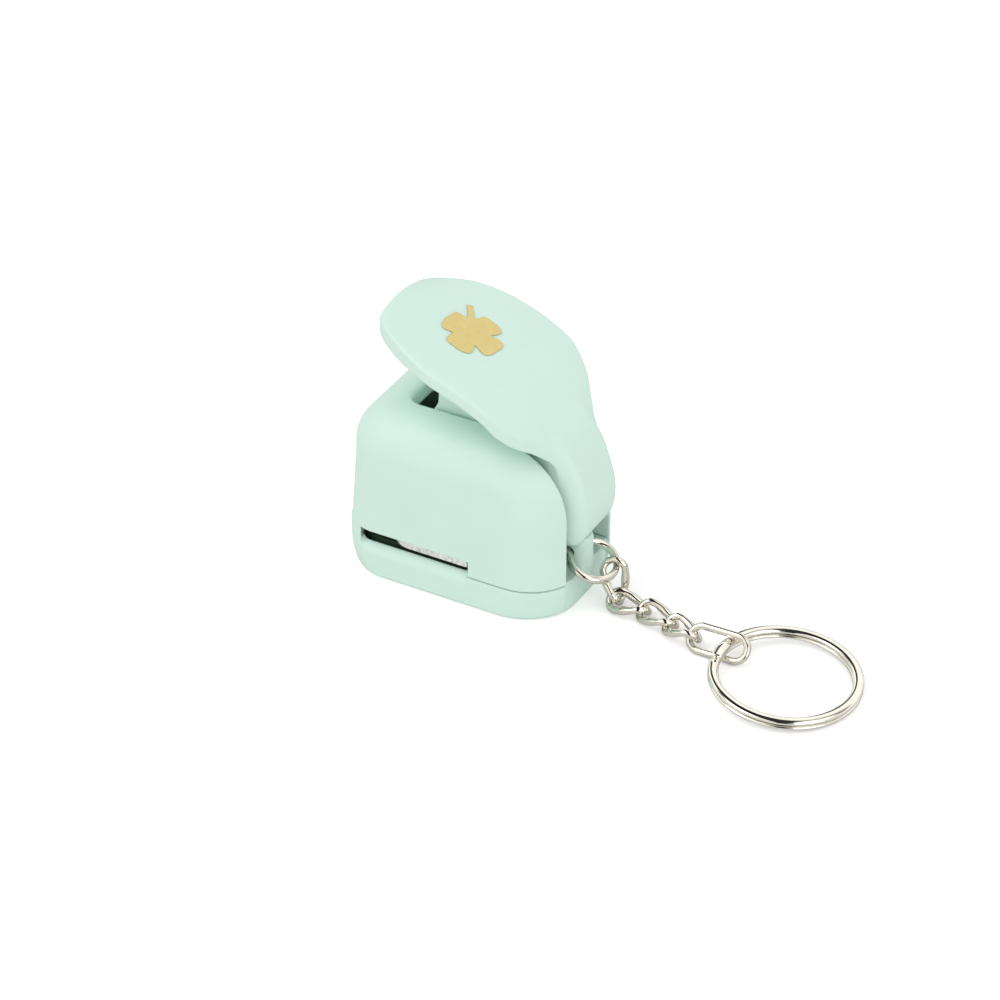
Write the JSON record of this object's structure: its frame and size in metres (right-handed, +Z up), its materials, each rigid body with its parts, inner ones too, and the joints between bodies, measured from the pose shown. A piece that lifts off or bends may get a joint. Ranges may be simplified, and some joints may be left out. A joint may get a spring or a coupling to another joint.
{
  "type": "craft punch",
  "caption": "Pocket craft punch: a press lever drives a clover cutter through a steel die, with a spring return and a chain with a split ring.",
  "frame": {"origin": "middle of the base's flat underside, on the table", "axes": "+Z up from the table, +Y from the lever's tip to its hinge and on towards the key ring, +X across the punch along its hinge pin"},
  "size_m": [0.0339, 0.0911, 0.0469],
  "materials": {
    "mint_plastic": "satin moulded",
    "gold_foil": "satin hot-stamped foil",
    "steel_plate": "ground",
    "white_plastic": "moulded",
    "spring_wire": "drawn wire",
    "fixings": "zinc plated",
    "nickel": "polished warm nickel plate"
  },
  "bodies": {
    "base": {"base_tray": "mint_plastic", "top_cover": "mint_plastic", "die_plate": "steel_plate", "guide_plate": "steel_plate", "paper_stop": "steel_plate", "plate_screw_left": "fixings", "plate_screw_right": "fixings", "cover_screw_left": "fixings", "cover_screw_right": "fixings", "pivot_pin": "fixings", "return_spring": "spring_wire"},
    "lever": {"lever": "mint_plastic", "clover_foil": "gold_foil"},
    "punch": {"clover_cutter": "steel_plate", "plunger": "white_plastic"},
    "jump_ring": {"jump_ring": "nickel"},
    "chain_1": {"chain_link_1": "nickel"},
    "chain_2": {"chain_link_2": "nickel"},
    "chain_3": {"chain_link_3": "nickel"},
    "chain_4": {"chain_link_4": "nickel"},
    "end_link": {"end_link": "nickel"},
    "split_ring": {"split_ring": "nickel"}
  },
  "joints": [
    {"name": "lever_press", "type": "hinge", "parent": "base", "child": "lever", "pos_m": [0, 0.0148, 0.0154], "axis": [1, 0, 0], "range_deg": [0, 8.5]},
    {"name": "punch_stroke", "type": "slide", "parent": "base", "child": "punch", "axis": [0, 0, -1], "range_m": [0, 0.00364], "stiffness_N_per_m": 600, "springref_m": -0.0012, "deforming": ["return_spring"]},
    {"name": "ring_swing", "type": "hinge", "parent": "base", "child": "jump_ring", "pos_m": [0, 0.0168, 0.0083], "axis": [1, 0, 0], "range_deg": [-8, 18]},
    {"name": "link_1_swing", "type": "hinge", "parent": "jump_ring", "child": "chain_1", "pos_m": [-0.00103, 0.02409, 0.00535], "axis": [1, 0, 0], "range_deg": [-20, 30]},
    {"name": "link_2_swing", "type": "hinge", "parent": "chain_1", "child": "chain_2", "pos_m": [0.00158, 0.02523, 0.00124], "axis": [0, 0, 1], "range_deg": [-20, 10]},
    {"name": "link_3_swing", "type": "hinge", "parent": "chain_2", "child": "chain_3", "pos_m": [0.00196, 0.03082, 0.00146], "axis": [0, 0, 1], "range_deg": [-20, 20]},
    {"name": "link_4_swing", "type": "hinge", "parent": "chain_3", "child": "chain_4", "pos_m": [0.0033, 0.03633, 0.00152], "axis": [0, 0, 1], "range_deg": [-20, 20]},
    {"name": "end_link_swing", "type": "hinge", "parent": "chain_4", "child": "end_link", "pos_m": [0.00574, 0.04143, 0.00225], "axis": [0, 0, 1], "range_deg": [-25, 20]},
    {"name": "split_ring_swing", "type": "hinge", "parent": "end_link", "child": "split_ring", "pos_m": [0.0055, 0.047, 0.0022], "axis": [0, 0, 1], "range_deg": [-20, 25]}
  ],
  "couplings": [
    {"joint": "lever_press", "follows": "punch_stroke", "rad_per_m": 40.65}
  ]
}
